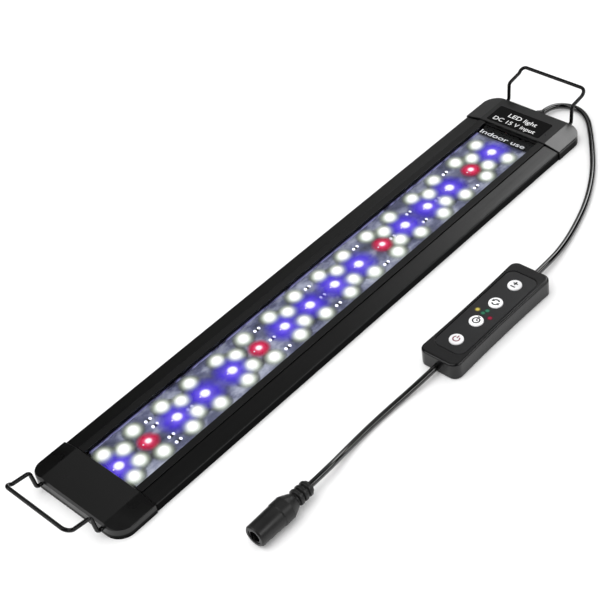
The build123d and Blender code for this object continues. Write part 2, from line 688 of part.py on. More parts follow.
for cord_name, route in (("cord_to_controller", CORD_TO_CONTROLLER), ("cord_to_jack", CORD_TO_JACK)):
    cord_radii = bend_radii(route)
    cord_shape, cord_length = bent_tube(route, cord_radii, CORD / 2)
    print(cord_name, "radii", [round(radius, 1) for radius in cord_radii])
    print(cord_name, "length", round(cord_length, 1), "volume", round(cord_shape.volume, 1),
          "section x length", round(math.pi * CORD ** 2 / 4 * cord_length, 1))
    save(cord_name, cord_shape)
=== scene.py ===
import math

import bmesh
import bpy
from mathutils import Matrix, Vector


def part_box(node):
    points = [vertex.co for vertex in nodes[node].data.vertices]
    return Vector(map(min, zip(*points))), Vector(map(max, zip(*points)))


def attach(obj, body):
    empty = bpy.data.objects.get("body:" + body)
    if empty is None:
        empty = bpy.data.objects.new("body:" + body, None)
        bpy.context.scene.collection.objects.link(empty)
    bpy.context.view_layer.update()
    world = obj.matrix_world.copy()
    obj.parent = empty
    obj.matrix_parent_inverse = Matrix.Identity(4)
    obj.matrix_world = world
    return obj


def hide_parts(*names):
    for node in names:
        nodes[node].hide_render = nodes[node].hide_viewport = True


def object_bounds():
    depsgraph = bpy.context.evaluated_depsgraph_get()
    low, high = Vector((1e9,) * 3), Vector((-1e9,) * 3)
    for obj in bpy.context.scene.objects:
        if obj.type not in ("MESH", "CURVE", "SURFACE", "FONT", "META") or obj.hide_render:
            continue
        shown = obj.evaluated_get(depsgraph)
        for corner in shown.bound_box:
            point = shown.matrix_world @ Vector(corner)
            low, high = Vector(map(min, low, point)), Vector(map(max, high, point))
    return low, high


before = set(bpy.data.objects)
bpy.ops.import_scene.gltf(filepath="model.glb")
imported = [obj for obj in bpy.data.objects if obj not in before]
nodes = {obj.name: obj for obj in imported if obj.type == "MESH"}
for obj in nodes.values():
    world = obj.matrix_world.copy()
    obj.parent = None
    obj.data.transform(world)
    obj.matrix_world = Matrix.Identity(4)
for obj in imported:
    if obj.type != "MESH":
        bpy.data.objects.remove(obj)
cad_low, cad_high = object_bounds()
MM = 0.001


# ---------------------------------------------------------------- camera
def add_camera():
    """Looks down along the bar from its end without the lead, turned a little about its own line."""
    azimuth, elevation, roll = (math.radians(angle) for angle in (-40.1, 41.9, -10.5))
    target = Vector((-0.0127, 0.0105, 0.0))
    distance = 0.7335
    back = Vector((math.sin(azimuth) * math.cos(elevation),
                   -math.cos(azimuth) * math.cos(elevation), math.sin(elevation)))
    level = Vector((math.cos(azimuth), math.sin(azimuth), 0.0))
    upright = back.cross(level)
    across = math.cos(roll) * level + math.sin(roll) * upright
    upward = math.cos(roll) * upright - math.sin(roll) * level
    data = bpy.data.cameras.new("camera")
    data.sensor_width = 36.0
    data.lens = 86.6
    data.clip_start = 0.01
    camera = bpy.data.objects.new("camera", data)
    bpy.context.scene.collection.objects.link(camera)
    turn = Matrix((across, upward, back)).transposed().to_4x4()
    camera.matrix_world = Matrix.Translation(target + distance * back) @ turn
    bpy.context.scene.camera = camera


add_camera()


# ---------------------------------------------------------------- shader helpers
class Shader:
    """A material's node tree, with short calls for the nodes that the materials below use."""

    def __init__(self, name):
        self.material = bpy.data.materials.new(name)
        self.material.use_nodes = True
        self.tree = self.material.node_tree
        self.principled = self.tree.nodes["Principled BSDF"]
        self.output = self.tree.nodes["Material Output"]
        self.place = self.tree.nodes.new("ShaderNodeTexCoord").outputs["Object"]

    def node(self, kind, **settings):
        made = self.tree.nodes.new(kind)
        for name, value in settings.items():
            setattr(made, name, value)
        return made

    def link(self, source, target):
        self.tree.links.new(source, target)

    def set(self, **values):
        """Sets the shader's own sockets, with _ for a space in their names."""
        for name, value in values.items():
            self.principled.inputs[name.replace("_", " ")].default_value = value

    def scaled(self, scale):
        """The object's own coordinates, stretched by a number for each axis."""
        mapping = self.node("ShaderNodeMapping")
        mapping.inputs["Scale"].default_value = scale
        self.link(self.place, mapping.inputs["Vector"])
        return mapping.outputs["Vector"]

    def noise(self, scale, detail=2.0, stretch=(1, 1, 1), roughness=0.5):
        texture = self.node("ShaderNodeTexNoise")
        texture.inputs["Scale"].default_value = scale
        texture.inputs["Detail"].default_value = detail
        texture.inputs["Roughness"].default_value = roughness
        self.link(self.scaled(stretch), texture.inputs["Vector"])
        return texture.outputs["Fac"]

    def ramp(self, source, *stops):
        """Colours or greys along a value, as (position, value) pairs."""
        made = self.node("ShaderNodeValToRGB")
        elements = made.color_ramp.elements
        while len(elements) < len(stops):
            elements.new(0.5)
        for element, (position, value) in zip(elements, stops):
            element.position = position
            element.color = (*value, 1) if isinstance(value, tuple) else (value, value, value, 1)
        self.link(source, made.inputs["Fac"])
        return made.outputs["Color"]

    def bump(self, source, strength, distance):
        made = self.node("ShaderNodeBump")
        made.inputs["Strength"].default_value = strength
        made.inputs["Distance"].default_value = distance
        self.link(source, made.inputs["Height"])
        self.link(made.outputs["Normal"], self.principled.inputs["Normal"])

    def drive(self, socket, source):
        self.link(source, self.principled.inputs[socket])

    def by_height(self, height, band, below, above):
        """One number below a height of the object and another above it, blended over a band."""
        parts = self.node("ShaderNodeSeparateXYZ")
        self.link(self.place, parts.inputs[0])
        made = self.node("ShaderNodeMapRange")
        for name, value in {"From Min": height - band / 2, "From Max": height + band / 2,
                            "To Min": below, "To Max": above}.items():
            made.inputs[name].default_value = value
        self.link(parts.outputs["Z"], made.inputs["Value"])
        return made.outputs["Result"]

    def mix_out(self, share, first, second):
        """Sends a mix of two shaders to the output."""
        mix = self.node("ShaderNodeMixShader")
        self.link(share, mix.inputs["Fac"])
        self.link(first.outputs[0], mix.inputs[1])
        self.link(second.outputs[0], mix.inputs[2])
        self.link(mix.outputs[0], self.output.inputs["Surface"])


GRAIN_HEIGHT = 0.05 * MM
DULL_BAND, DULL_GLOSS = 0.6 * MM, 0.04
COAT_ROUGHNESS = 0.08


def moulded(name, base, roughness, grain=1800.0, depth=0.25, spread=0.08, dull_below=None, gloss=0.5,
            coat=0.0):
    """Moulded plastic: spark-eroded grain, slightly uneven gloss and a faint cloudy colour. Below the
    height dull_below, in metres, the surface has next to no gloss: that is painted shade, copying the black
    side walls of the photograph, not the plastic. Coat is the share of a polished skin, on plastics that
    are equally glossy all over."""
    shader = Shader(name)
    grains = shader.noise(grain, 3.0)
    clouds = shader.noise(70.0, 2.0)
    low = tuple(0.8 * channel for channel in base)
    high = tuple(1.2 * channel for channel in base)
    shader.drive("Base Color", shader.ramp(clouds, (0.3, low), (0.7, high)))
    shader.drive("Roughness", shader.ramp(clouds, (0.3, roughness - spread), (0.7, roughness + spread)))
    if dull_below:
        shader.drive("Specular IOR Level", shader.by_height(dull_below, DULL_BAND, DULL_GLOSS, gloss))
    else:
        shader.set(Specular_IOR_Level=gloss, Coat_Weight=coat, Coat_Roughness=COAT_ROUGHNESS)
    shader.bump(grains, depth, GRAIN_HEIGHT)
    return shader.material


FLANGE_EDGE, FLANGE_BAND = 4.3 * MM, 0.3 * MM


def anodised():
    """Black anodised extrusion with faint die lines along X. Its side wall, under the slope, is made dull as
    painted shade, to copy the photograph, where it is black."""
    shader = Shader("anodised_black")
    lines = shader.noise(900.0, 4.0, (0.012, 1, 1), 0.6)
    clouds = shader.noise(40.0, 2.0, (0.3, 1, 1))
    specks = shader.noise(2400.0, 2.0)
    low, high = (0.0006, 0.0006, 0.0006), (0.0014, 0.0014, 0.0015)
    shader.drive("Base Color", shader.ramp(clouds, (0.3, low), (0.75, high)))
    shader.drive("Roughness", shader.ramp(lines, (0.3, 0.3), (0.7, 0.4)))
    shader.drive("Specular IOR Level", shader.by_height(FLANGE_EDGE, FLANGE_BAND, 0.02, 0.3))
    blend = shader.node("ShaderNodeMath", operation="ADD")
    shader.link(lines, blend.inputs[0])
    shader.link(specks, blend.inputs[1])
    shader.bump(blend.outputs[0], 0.3, 0.00003)
    return shader.material


def metal(name, base, roughness):
    """Bare or plated metal with fine wear in its gloss."""
    shader = Shader(name)
    wear = shader.noise(600.0, 4.0)
    dull = tuple(0.75 * channel for channel in base)
    shader.drive("Base Color", shader.ramp(wear, (0.3, dull), (0.65, base)))
    shader.drive("Roughness", shader.ramp(wear, (0.3, roughness * 1.5), (0.7, roughness * 0.8)))
    shader.set(Metallic=1.0)
    shader.bump(wear, 0.1, 0.00002)
    return shader.material


def rubber(name, base, roughness=0.7):
    """Soft silicone with fine dust on it."""
    shader = Shader(name)
    dust = shader.noise(500.0, 4.0)
    light = tuple(min(1.0, 1.6 * channel + 0.004) for channel in base)
    shader.drive("Base Color", shader.ramp(dust, (0.4, base), (0.8, light)))
    shader.drive("Roughness", shader.ramp(dust, (0.3, roughness - 0.08), (0.7, roughness + 0.08)))
    shader.bump(dust, 0.2, 0.00004)
    return shader.material


EDGE_ON_GLOSS, FACE_ON_GLOSS = 0.5, 0.012


def clear_sheet(name, tint, gloss_roughness=0.04):
    """Thin clear acrylic: what is under it shows through, with a mirror coat that grows at low angles."""
    shader = Shader(name)
    shader.tree.nodes.remove(shader.principled)
    through = shader.node("ShaderNodeBsdfTransparent")
    through.inputs["Color"].default_value = (*tint, 1)
    coat = shader.node("ShaderNodeBsdfGlossy")
    coat.inputs["Roughness"].default_value = gloss_roughness
    facing = shader.node("ShaderNodeLayerWeight")
    facing.inputs["Blend"].default_value = 0.5
    steep = shader.node("ShaderNodeMath", operation="POWER")
    steep.inputs[1].default_value = 5.0
    shader.link(facing.outputs["Facing"], steep.inputs[0])
    share = shader.node("ShaderNodeMath", operation="MULTIPLY_ADD")
    share.inputs[1].default_value = EDGE_ON_GLOSS
    share.inputs[2].default_value = FACE_ON_GLOSS
    shader.link(steep.outputs[0], share.inputs[0])
    shader.mix_out(share.outputs[0], through, coat)
    return shader.material


def lamp(name, colour, strength):
    """The lit face of an LED, mottled by its phosphor."""
    shader = Shader(name)
    darker = tuple(0.85 * channel for channel in colour)
    mottle = shader.ramp(shader.noise(900.0, 2.0), (0.3, darker), (0.7, colour))
    shader.set(Base_Color=(*colour, 1), Roughness=0.3, Emission_Strength=strength)
    shader.drive("Emission Color", mottle)
    return shader.material


def glow(name, stops, patches=0.0, axis=None, strength=1.0):
    """Light that spreads over a surface, as (distance, colour, cover) stops. The distance runs from 0 to
    1: from a disc's middle to its rim, or from one side of a strip to the other where axis is given.
    Patches is how far a mottled pattern eats into its cover."""
    shader = Shader(name)
    shader.tree.nodes.remove(shader.principled)
    spot = shader.node("ShaderNodeTexCoord").outputs["UV"]
    if axis is None:
        middle = shader.node("ShaderNodeVectorMath", operation="DISTANCE")
        middle.inputs[1].default_value = (0.5, 0.5, 0.0)
        shader.link(spot, middle.inputs[0])
        double = shader.node("ShaderNodeMath", operation="MULTIPLY")
        double.inputs[1].default_value = 2.0
        shader.link(middle.outputs["Value"], double.inputs[0])
        distance = double.outputs[0]
    else:
        parts = shader.node("ShaderNodeSeparateXYZ")
        shader.link(spot, parts.inputs[0])
        distance = parts.outputs[axis]
    colour = shader.ramp(distance, *((place, shade) for place, shade, cover in stops))
    cover = shader.ramp(distance, *((place, cover) for place, shade, cover in stops))
    if patches:
        pattern = shader.ramp(shader.noise(260.0, 3.0, (0.6, 1, 1)), (0.38, 1.0 - patches), (0.55, 1.0))
        product = shader.node("ShaderNodeMath", operation="MULTIPLY")
        shader.link(cover, product.inputs[0])
        shader.link(pattern, product.inputs[1])
        cover = product.outputs[0]
    light = shader.node("ShaderNodeEmission")
    shader.link(colour, light.inputs["Color"])
    light.inputs["Strength"].default_value = strength
    clear = shader.node("ShaderNodeBsdfTransparent")
    shader.mix_out(cover, clear, light)
    return shader.material


def board_white():
    """White solder mask seen in hard light, with that light painted into its colour: a bluish grey, with
    the soft shapes of copper areas under it and pale blurred patches of painted glare."""
    shader = Shader("solder_mask_painted_lit")
    copper = shader.node("ShaderNodeTexVoronoi", feature="F1", distance="CHEBYCHEV")
    copper.inputs["Scale"].default_value = 110.0
    shader.link(shader.scaled((0.55, 1, 1)), copper.inputs["Vector"])
    clouds = shader.noise(90.0, 5.0, (0.7, 1, 1), 0.65)
    blend = shader.node("ShaderNodeMath", operation="MULTIPLY_ADD")
    blend.inputs[1].default_value = 0.4
    shader.link(copper.outputs["Distance"], blend.inputs[0])
    shader.link(clouds, blend.inputs[2])
    # The bluish tint and the pale patches are painted light from the LEDs; the mask itself is white.
    dark, middle, pale = (0.025, 0.028, 0.06), (0.1, 0.105, 0.18), (0.42, 0.43, 0.5)
    shader.drive("Base Color", shader.ramp(blend.outputs[0], (0.42, dark), (0.62, middle), (0.85, pale)))
    shader.set(Roughness=0.45)
    shader.bump(copper.outputs["Distance"], 0.15, 0.00003)
    return shader.material


# The near and far caps are one plastic in two copies: their gloss differs in level and in the height of the
# dull walls, to follow how the light falls on each cap. That difference is painted shade, not the plastic.
CAP_NEAR_BLACK = moulded("abs_black_grain_near", (0.002, 0.002, 0.002), 0.3, 1800.0, 0.22, 0.03, 0.0024, 0.4)
CAP_FAR_BLACK = moulded("abs_black_grain_far", (0.002, 0.002, 0.002), 0.3, 1800.0, 0.22, 0.03, 0.0042)
GLOSS_BLACK = moulded("film_gloss_black", (0.0008, 0.0008, 0.0008), 0.14, 400.0, 0.03, 0.03, gloss=0.08)
SHELL_BLACK = moulded("abs_black_satin", (0.003, 0.003, 0.0033), 0.22, 2200.0, 0.1, 0.04, gloss=0.36)
OVERLAY_BLACK = moulded("film_matte_black", (0.0045, 0.0045, 0.0055), 0.36, 2600.0, 0.1, 0.05, gloss=0.4)
PVC_BLACK = moulded("pvc_black_gloss", (0.0015, 0.0015, 0.0015), 0.13, 500.0, 0.05, 0.03, coat=0.5)
JACK_BLACK = moulded("pvc_black_moulded", (0.007, 0.007, 0.007), 0.42, 1400.0, 0.25, 0.05, gloss=0.35)
BUTTON_WHITE = moulded("abs_white", (0.8, 0.8, 0.81), 0.35, 1500.0, 0.05, 0.05)
ANODISED = anodised()
WIRE_BLACK = moulded("wire_black_lacquer", (0.0015, 0.0015, 0.0016), 0.16, 900.0, 0.06, 0.03, gloss=0.25)
STEEL = metal("zinc_steel", (0.5, 0.5, 0.5), 0.32)
BRASS = metal("nickel_brass", (0.6, 0.58, 0.5), 0.25)
SEAL = rubber("silicone_black", (0.006, 0.006, 0.006))
PAD = rubber("silicone_grey", (0.3, 0.31, 0.32))
MASK_GREEN = moulded("solder_mask_green", (0.01, 0.09, 0.03), 0.4, 700.0, 0.2, 0.08)
CHIP = moulded("epoxy_black", (0.02, 0.02, 0.02), 0.5)
CERAMIC = moulded("ceramic_tan", (0.42, 0.3, 0.18), 0.5)
RED_CORE = moulded("pvc_red", (0.1, 0.004, 0.004), 0.35)
BLACK_CORE = moulded("pvc_black_core", (0.01, 0.01, 0.01), 0.35)
LENS_CLEAR = clear_sheet("acrylic_clear", (0.97, 0.98, 1.0))
PIPE_CLEAR = clear_sheet("acrylic_pipe", (0.6, 0.75, 0.6), 0.1)
BOARD_WHITE = board_white()
PACKAGE = moulded("led_package_white", (0.6, 0.6, 0.58), 0.4)
INK_WHITE = moulded("ink_white", (0.72, 0.72, 0.72), 0.5, 1500.0, 0.05)
INK_GREY = moulded("ink_grey", (0.012, 0.014, 0.016), 0.5, 1500.0, 0.05)
INK_RED = moulded("ink_red", (0.22, 0.06, 0.085), 0.5, 1500.0, 0.05)

NODE_MATERIALS = {
    ANODISED: ["housing"], CAP_NEAR_BLACK: ["cap_near"], CAP_FAR_BLACK: ["cap_far"],
    SEAL: ["gasket_near", "gasket_far", "bracket_bushings_near", "bracket_bushings_far"],
    LENS_CLEAR: ["lens"], GLOSS_BLACK: ["lens_end_mask", "rating_label"], BOARD_WHITE: ["led_board"],
    PAD: ["thermal_pad"], PACKAGE: ["leds_white", "leds_blue", "leds_red"],
    CHIP: ["board_resistors", "controller_chip", "controller_mosfets", "tact_switches",
           "plunger_power", "plunger_timer", "plunger_mode", "plunger_brightness"],
    CERAMIC: ["controller_capacitors"], STEEL: ["cap_screws", "controller_screws"],
    WIRE_BLACK: ["bracket_near", "bracket_far"], PVC_BLACK: ["cord_grips"],
    JACK_BLACK: ["jack_body", "cord_gland"],
    SHELL_BLACK: ["controller_top", "controller_bottom", "jack_insulator"],
    OVERLAY_BLACK: ["controller_overlay"], MASK_GREEN: ["controller_board"],
    BUTTON_WHITE: ["button_power", "button_timer", "button_mode", "button_brightness"],
    PIPE_CLEAR: ["light_pipes"], BRASS: ["jack_pin", "jack_contact", "indicator_leds"],
    RED_CORE: ["lead_wire_plus"], BLACK_CORE: ["lead_wire_minus"]}


def dress(node, material):
    mesh = nodes[node].data
    mesh.materials.clear()
    mesh.materials.append(material)


for node_material, names in NODE_MATERIALS.items():
    for node_name in names:
        dress(node_name, node_material)


# ---------------------------------------------------------------- mesh helpers
def piece_from(name, bm, material, body="light"):
    mesh = bpy.data.meshes.new(name)
    bm.to_mesh(mesh)
    bm.free()
    mesh.materials.append(material)
    made = bpy.data.objects.new(name, mesh)
    bpy.context.scene.collection.objects.link(made)
    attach(made, body)
    return made


def solid_middles(node):
    """The middle and top of each separate solid in a CAD node, sorted along X."""
    bm = bmesh.new()
    bm.from_mesh(nodes[node].data)
    bmesh.ops.remove_doubles(bm, verts=bm.verts, dist=1e-6)
    left = set(bm.verts)
    middles = []
    while left:
        found, edge_of = [], [left.pop()]
        while edge_of:
            vertex = edge_of.pop()
            found.append(vertex.co.copy())
            for edge in vertex.link_edges:
                other = edge.other_vert(vertex)
                if other in left:
                    left.discard(other)
                    edge_of.append(other)
        low = [min(co[axis] for co in found) for axis in range(3)]
        high = [max(co[axis] for co in found) for axis in range(3)]
        middles.append(Vector(((low[0] + high[0]) / 2, (low[1] + high[1]) / 2, high[2])))
    bm.free()
    return sorted(middles, key=lambda middle: (round(middle.x, 5), middle.y))


def discs(middles, radius, segments=24, lift=0.0, step=0.0):
    """One flat disc at each place, with UV from 0 to 1 across it. The discs take four heights in turn,
    step apart, so that those that overlap don't share a plane."""
    bm = bmesh.new()
    uv = bm.loops.layers.uv.new("across")
    for index, middle in enumerate(middles):
        height = middle.z + lift + step * (index % 4)
        corners = []
        for turn in range(segments):
            angle = 2 * math.pi * turn / segments
            corners.append((math.cos(angle), math.sin(angle)))
        verts = [bm.verts.new((middle.x + radius * x, middle.y + radius * y, height)) for x, y in corners]
        face = bm.faces.new(verts)
        for loop, (x, y) in zip(face.loops, corners):
            loop[uv].uv = (0.5 + x / 2, 0.5 + y / 2)
    return bm


# ---------------------------------------------------------------- cords
# The routes are in millimetres. CORD_FLOOR is the height of a cord's middle where it lies on the floor.
CORD_DIAMETER = 3.3 * MM
CORD_FLOOR = 1.65
gland_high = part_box("cord_gland")[1]
control_low, control_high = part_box("controller_top")
grips_low, grips_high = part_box("cord_grips")
jack_low, jack_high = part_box("jack_body")
GLAND_Y, GLAND_Z = -1.2, 3.5
CONTROL_Y = (control_low.y + control_high.y) / 2 / MM
SEAM = 4.2
JACK_Y = (jack_low.y + jack_high.y) / 2 / MM
JACK_Z = (jack_low.z + jack_high.z) / 2 / MM
TO_CONTROLLER = [
    (gland_high.x / MM, GLAND_Y, GLAND_Z), (184.8, GLAND_Y, GLAND_Z), (192.4, -5.8, 2.5),
    (195.0, -15.0, CORD_FLOOR), (189.4, -24.6, CORD_FLOOR), (180.2, -32.6, CORD_FLOOR),
    (166.0, -43.8, CORD_FLOOR), (149.5, -55.2, CORD_FLOOR), (128.0, -66.0, CORD_FLOOR),
    (106.0, -73.0, CORD_FLOOR), (89.5, -76.8, 2.3), (74.5, CONTROL_Y, SEAM),
    (grips_high.x / MM, CONTROL_Y, SEAM)]
TO_JACK = [
    (grips_low.x / MM, CONTROL_Y, SEAM), (-21.0, CONTROL_Y, SEAM), (-31.5, -77.4, 2.2),
    (-45.5, -76.6, CORD_FLOOR), (-61.0, -76.5, CORD_FLOOR), (-78.0, -77.8, 2.8),
    (-91.0, JACK_Y, 5.95), (jack_high.x / MM, JACK_Y, JACK_Z)]


def add_cord(name, route, node):
    curve = bpy.data.curves.new(name, "CURVE")
    curve.dimensions = "3D"
    curve.bevel_depth = CORD_DIAMETER / 2
    curve.bevel_resolution = 5
    curve.resolution_u = 10
    curve.use_fill_caps = True
    spline = curve.splines.new("NURBS")
    spline.points.add(len(route) - 1)
    for point, place in zip(spline.points, route):
        point.co = (*(value * MM for value in place), 1)
    spline.order_u = 3
    spline.use_endpoint_u = True
    made = bpy.data.objects.new(name, curve)
    bpy.context.scene.collection.objects.link(made)
    curve.materials.append(PVC_BLACK)
    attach(made, "light")
    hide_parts(node)
    return made


lead = add_cord("lead_to_controller", TO_CONTROLLER, "cord_to_controller")
tail = add_cord("lead_to_jack", TO_JACK, "cord_to_jack")


# ---------------------------------------------------------------- LEDs and their light
lens_low, lens_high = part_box("lens")
mask_low, mask_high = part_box("lens_end_mask")
# Light that spreads from an LED, as (distance, colour, cover) stops
WHITE_GLARE = [(0.0, (1.0, 1.0, 0.98), 1.0), (0.3, (1.0, 1.0, 0.97), 1.0), (0.46, (0.95, 1.0, 0.88), 0.5),
               (0.64, (0.82, 0.9, 0.68), 0.18), (0.82, (0.62, 0.7, 0.52), 0.06),
               (1.0, (0.5, 0.56, 0.44), 0.0)]
WHITE_BLOOM = [(0.0, (1.0, 1.0, 1.0), 0.95), (0.28, (1.0, 1.0, 0.99), 0.85), (0.44, (0.97, 1.0, 0.93), 0.32),
               (0.64, (0.85, 0.93, 0.75), 0.09), (0.82, (0.75, 0.83, 0.64), 0.03),
               (1.0, (0.7, 0.8, 0.6), 0.0)]
BLUE_HALO = [(0.0, (0.4, 0.3, 1.0), 0.97), (0.25, (0.2, 0.13, 0.92), 0.96), (0.5, (0.085, 0.045, 0.72), 0.9),
             (0.75, (0.075, 0.045, 0.6), 0.5), (1.0, (0.09, 0.06, 0.5), 0.0)]
RED_HALO = [(0.0, (1.0, 0.4, 0.5), 1.0), (0.3, (0.85, 0.06, 0.16), 1.0), (0.6, (0.66, 0.01, 0.06), 0.9),
            (0.8, (0.6, 0.01, 0.07), 0.45), (1.0, (0.5, 0.02, 0.1), 0.0)]
WHITE_HEART = [(0.0, (1.0, 1.0, 1.0), 1.0), (0.5, (1.0, 1.0, 1.0), 1.0), (0.72, (0.75, 0.68, 1.0), 0.65),
               (1.0, (0.4, 0.3, 1.0), 0.0)]
PINK_HEART = [(0.0, (1.0, 0.97, 0.98), 1.0), (0.45, (1.0, 0.88, 0.92), 1.0), (0.72, (1.0, 0.4, 0.5), 0.6),
              (1.0, (0.9, 0.1, 0.2), 0.0)]
SPARK = [(0.0, (1.0, 0.95, 1.0), 1.0), (0.6, (1.0, 0.9, 1.0), 0.9), (1.0, (0.8, 0.6, 1.0), 0.0)]
# kind: CAD node, emitter's colour, halo and its radius in mm, heart and its radius in mm, and the halo's
# height as a share of the gap between LED and lens
LED_KINDS = {"blue": ("leds_blue", (0.6, 0.55, 1.0), BLUE_HALO, 11.5, WHITE_HEART, 3.1, 0.25),
             "red": ("leds_red", (1.0, 0.55, 0.6), RED_HALO, 6.4, PINK_HEART, 2.4, 0.45),
             "white": ("leds_white", (1.0, 1.0, 0.97), WHITE_GLARE, 6.2, None, 0.0, 0.2)}
SPARK_AWAY, SPARK_RADIUS = 3.2 * MM, 0.55 * MM
SPARK_HEIGHT = 0.92
EMITTER_RADIUS, EMITTER_STRENGTH, EMITTER_SINK = 1.04 * MM, 6.0, 0.1 * MM
WHITE_STRENGTH, HEART_STRENGTH = 1.15, 1.2
LAYER_STEP = 0.02 * MM
UNDER_LENS = 0.9


def add_leds(kind, node, colour, halo, reach, heart, heart_reach, share):
    """The lit emitters of one colour, and flat glowing discs for the light that they spread."""
    middles = solid_middles(node)
    gap = lens_low.z - middles[0].z

    def add(layer, shape, material):
        piece_from(f"{layer}_{kind}", shape, material)

    emitter = lamp(f"emitter_{kind}", colour, EMITTER_STRENGTH)
    add("emitters", discs(middles, EMITTER_RADIUS, lift=-EMITTER_SINK), emitter)
    patches, strength = (0.0, WHITE_STRENGTH) if kind == "white" else (0.25, 1.0)
    spread = glow(f"halo_{kind}", halo, patches, strength=strength)
    add("halos", discs(middles, reach * MM, 40, share * gap, LAYER_STEP), spread)
    if heart:
        # Two hearts at different heights, so that the bright middle has some depth; the lower heart is a
        # painted reflection of the LED. The spark is a painted reflection too: a bright dot beside each of
        # these LEDs at a fixed place, the LED's mirror image as it shows from one viewpoint only.
        deeper = [place - Vector((0, 0, 0.5 * gap)) for place in middles]
        core = glow(f"heart_{kind}", heart, strength=HEART_STRENGTH)
        add("hearts", discs(middles + deeper, heart_reach * MM, 32, UNDER_LENS * gap), core)
        beside = [place - Vector((SPARK_AWAY, 0, 0)) for place in middles]
        spots = discs(beside, SPARK_RADIUS, 16, SPARK_HEIGHT * gap)
        add("painted_reflections", spots, glow(f"spark_{kind}", SPARK))
    else:
        # With the halo, the white glare has three round layers, so that it looks deep as well as wide:
        # near the LED, just under the lens and just on it.
        bloom = glow(f"bloom_{kind}", WHITE_BLOOM, strength=WHITE_STRENGTH)
        on_lens = lens_high.z - middles[0].z + LAYER_STEP
        for layer, height in (("glares", UNDER_LENS * gap), ("blooms", on_lens)):
            add(layer, discs(middles, reach * MM, 32, height), bloom)


for led_kind, led_facts in LED_KINDS.items():
    add_leds(led_kind, *led_facts)


SOLDER_AWAY, SOLDER_SINK = 1.35 * MM, 0.2 * MM
SOLDER_SIZE = (1.6 * MM, 1.9 * MM, 1.0 * MM, 1)


def add_solder():
    """A rounded blob of solder at both ends of each resistor on the LED board, bright with painted light: it
    glows as if lit by the LEDs.
    """
    bm = bmesh.new()
    for middle in solid_middles("board_resistors"):
        for side in (-1, 1):
            made = bmesh.ops.create_uvsphere(bm, u_segments=12, v_segments=8, radius=0.5)
            place = middle + Vector((side * SOLDER_AWAY, 0, -SOLDER_SINK))
            shape = Matrix.Translation(place) @ Matrix.Diagonal(SOLDER_SIZE)
            bmesh.ops.transform(bm, matrix=shape, verts=made["verts"])
    shader = Shader("solder_painted_glow")
    grain = shader.noise(1500.0, 2.0)
    shader.drive("Base Color", shader.ramp(grain, (0.3, (0.75, 0.75, 0.8)), (0.7, (0.95, 0.95, 1.0))))
    # The emission is painted light: the LEDs' light falling on the solder.
    shader.set(Roughness=0.3, Emission_Color=(0.9, 0.88, 1.0, 1), Emission_Strength=0.9)
    made = piece_from("resistor_solder", bm, shader.material)
    for polygon in made.data.polygons:
        polygon.use_smooth = True


def add_edge_light():
    """Patchy light on the cavity's side wall next to the board."""
    board_low, board_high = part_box("led_board")
    wall = board_high.y + 0.05 * MM
    bm = bmesh.new()
    uv = bm.loops.layers.uv.new("across")
    low, high = (board_high.z, 0), (lens_low.z, 1)
    corners = [(board_low.x, *low), (board_high.x, *low), (board_high.x, *high), (board_low.x, *high)]
    face = bm.faces.new([bm.verts.new((x, wall, z)) for x, z, across in corners])
    for loop, (x, z, across) in zip(face.loops, corners):
        loop[uv].uv = (across, 0.5)
    stops = [(0.0, (0.4, 0.4, 0.7), 0.8), (0.4, (0.32, 0.32, 0.62), 0.6), (1.0, (0.2, 0.18, 0.5), 0.15)]
    piece_from("lens_edge_light", bm, glow("edge_light", stops, 0.9, "X"))


add_solder()
add_edge_light()


# ---------------------------------------------------------------- lettering and symbols
# Everything printed reads from +Y to -Y, with its top towards +X.
STROKE_GAIN = 0.008
PRINT_LIFT = 0.02 * MM
SYMBOL_SIZE, SYMBOL_LIFT = 1.25, 0.015 * MM


def lettering(name, words, centre, width, size):
    """A line of white print, stretched to a width."""
    curve = bpy.data.curves.new(name, "FONT")
    curve.body = words
    curve.align_x = curve.align_y = "CENTER"
    curve.size = size
    curve.offset = STROKE_GAIN * size
    holder = bpy.data.objects.new(name, curve)
    bpy.context.scene.collection.objects.link(holder)
    bpy.context.view_layer.update()
    mesh = bpy.data.meshes.new_from_object(holder)
    bpy.data.objects.remove(holder)
    lows, highs = (pick(vertex.co.x for vertex in mesh.vertices) for pick in (min, max))
    stretch = width / (highs - lows)
    middle = (lows + highs) / 2
    for vertex in mesh.vertices:
        across, up = (vertex.co.x - middle) * stretch, vertex.co.y
        vertex.co = (centre[0] + up, centre[1] - across, centre[2])
    mesh.materials.clear()
    mesh.materials.append(INK_WHITE)
    made = bpy.data.objects.new(name, mesh)
    bpy.context.scene.collection.objects.link(made)
    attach(made, "light")


label_low, label_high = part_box("rating_label")
label_top, mask_top = label_high.z + PRINT_LIFT, mask_high.z + PRINT_LIFT
lettering("label_line_1", "LED light", (label_high.x - 5.2 * MM, 0.2 * MM, label_top), 19 * MM, 4.6 * MM)
lettering("label_line_2", "DC 15 V input", (label_low.x + 3.0 * MM, 2.0 * MM, label_top), 28 * MM, 4.4 * MM)
lettering("lens_print", "Indoor use", (mask_low.x + 2.4 * MM, 2.0 * MM, mask_top), 30 * MM, 4.6 * MM)


